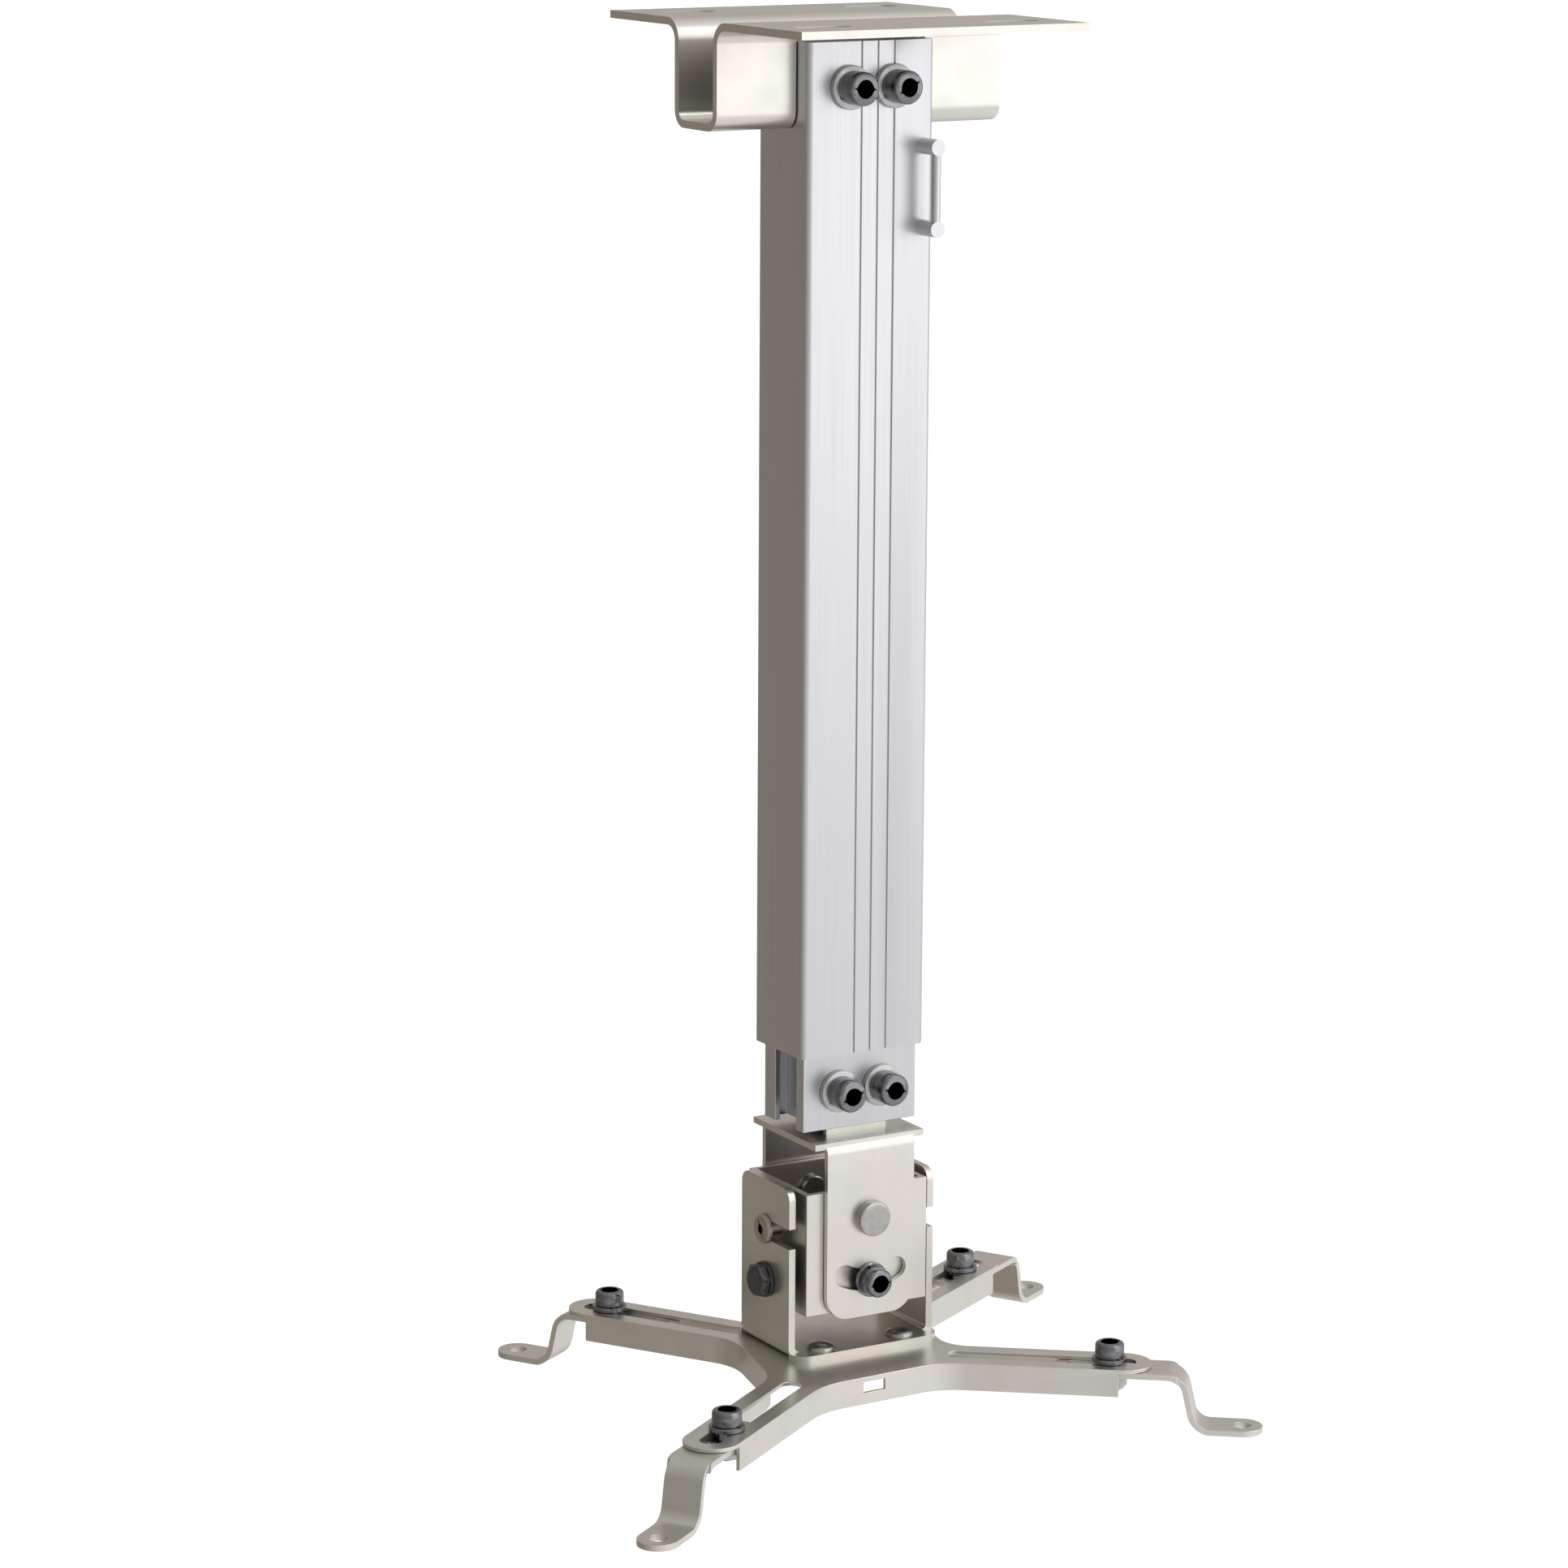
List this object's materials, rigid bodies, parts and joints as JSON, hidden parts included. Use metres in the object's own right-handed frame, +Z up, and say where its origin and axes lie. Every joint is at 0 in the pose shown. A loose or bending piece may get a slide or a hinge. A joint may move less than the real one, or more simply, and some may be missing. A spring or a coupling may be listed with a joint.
{
  "type": "projector ceiling drop mount",
  "caption": "Telescopic projector mount: top-hat ceiling bracket, sliding post, two-way tilting head and slotted arms with sliding stepped feet.",
  "frame": {"origin": "on the ceiling face of the bracket's front flange, midway between its two slots; the post's axis is at Y = 0.041 m", "axes": "+Z up into the ceiling, +X along the bracket to the right in the picture, +Y to the back, -Y towards the side with the bolt heads"},
  "size_m": [0.2428, 0.1939, 0.4428],
  "materials": {
    "zinc_plated_sheet_steel": "satin",
    "anodised_aluminium": "satin",
    "dark_screw_steel": "satin",
    "grey_hardware_steel": "satin",
    "rivet_steel": "satin"
  },
  "bodies": {
    "ceiling_mount": {"ceiling_bracket": "zinc_plated_sheet_steel", "outer_post": "anodised_aluminium", "cable_loop": "anodised_aluminium", "upper_bolt_left": "dark_screw_steel", "upper_bolt_right": "dark_screw_steel", "upper_washer_left": "grey_hardware_steel", "upper_washer_right": "grey_hardware_steel", "upper_nut_left": "grey_hardware_steel", "upper_nut_right": "grey_hardware_steel"},
    "drop_post": {"inner_post": "anodised_aluminium", "lower_bolt_left": "dark_screw_steel", "lower_bolt_right": "dark_screw_steel", "lower_washer_left": "grey_hardware_steel", "lower_washer_right": "grey_hardware_steel", "lower_nut_left": "grey_hardware_steel", "lower_nut_right": "grey_hardware_steel", "head_yoke": "zinc_plated_sheet_steel", "roll_rivet_front": "rivet_steel", "roll_rivet_back": "rivet_steel"},
    "roll_block": {"tilt_block": "zinc_plated_sheet_steel", "roll_lock_bolt_front": "dark_screw_steel", "roll_lock_bolt_back": "dark_screw_steel", "pitch_bolt_left": "dark_screw_steel", "pitch_bolt_right": "dark_screw_steel", "pitch_lock_screw_left": "dark_screw_steel", "pitch_lock_screw_right": "dark_screw_steel"},
    "base": {"base_cradle": "zinc_plated_sheet_steel", "arm_spider": "zinc_plated_sheet_steel", "base_rivet_front_left": "rivet_steel", "base_rivet_front_right": "rivet_steel", "base_rivet_back_left": "rivet_steel", "base_rivet_back_right": "rivet_steel"},
    "left_foot": {"foot_left": "zinc_plated_sheet_steel", "foot_bolt_left": "dark_screw_steel", "foot_nut_left": "grey_hardware_steel"},
    "front_left_foot": {"foot_front_left": "zinc_plated_sheet_steel", "foot_bolt_front_left": "dark_screw_steel", "foot_nut_front_left": "grey_hardware_steel"},
    "right_foot": {"foot_right": "zinc_plated_sheet_steel", "foot_bolt_right": "dark_screw_steel", "foot_nut_right": "grey_hardware_steel"},
    "back_right_foot": {"foot_back_right": "zinc_plated_sheet_steel", "foot_bolt_back_right": "dark_screw_steel", "foot_nut_back_right": "grey_hardware_steel"}
  },
  "joints": [
    {"name": "post_extension", "type": "slide", "parent": "ceiling_mount", "child": "drop_post", "axis": [0, 0, -1], "range_m": [0, 0.22]},
    {"name": "roll_tilt", "type": "hinge", "parent": "drop_post", "child": "roll_block", "pos_m": [0, 0.041, -0.3765], "axis": [0, 1, 0], "range_deg": [-12, 12]},
    {"name": "pitch_tilt", "type": "hinge", "parent": "roll_block", "child": "base", "pos_m": [0, 0.041, -0.3985], "axis": [1, 0, 0], "range_deg": [-10, 10]},
    {"name": "left_foot_slide", "type": "slide", "parent": "base", "child": "left_foot", "axis": [-0.5299, 0.848, 0], "range_m": [-0.022, 0.005]},
    {"name": "front_left_foot_slide", "type": "slide", "parent": "base", "child": "front_left_foot", "axis": [-0.8241, -0.5664, 0], "range_m": [-0.032, 0.01]},
    {"name": "right_foot_slide", "type": "slide", "parent": "base", "child": "right_foot", "axis": [0.7934, -0.6088, 0], "range_m": [-0.03, 0.005]},
    {"name": "back_right_foot_slide", "type": "slide", "parent": "base", "child": "back_right_foot", "axis": [0.866, 0.5, 0], "range_m": [-0.03, 0.008]}
  ]
}
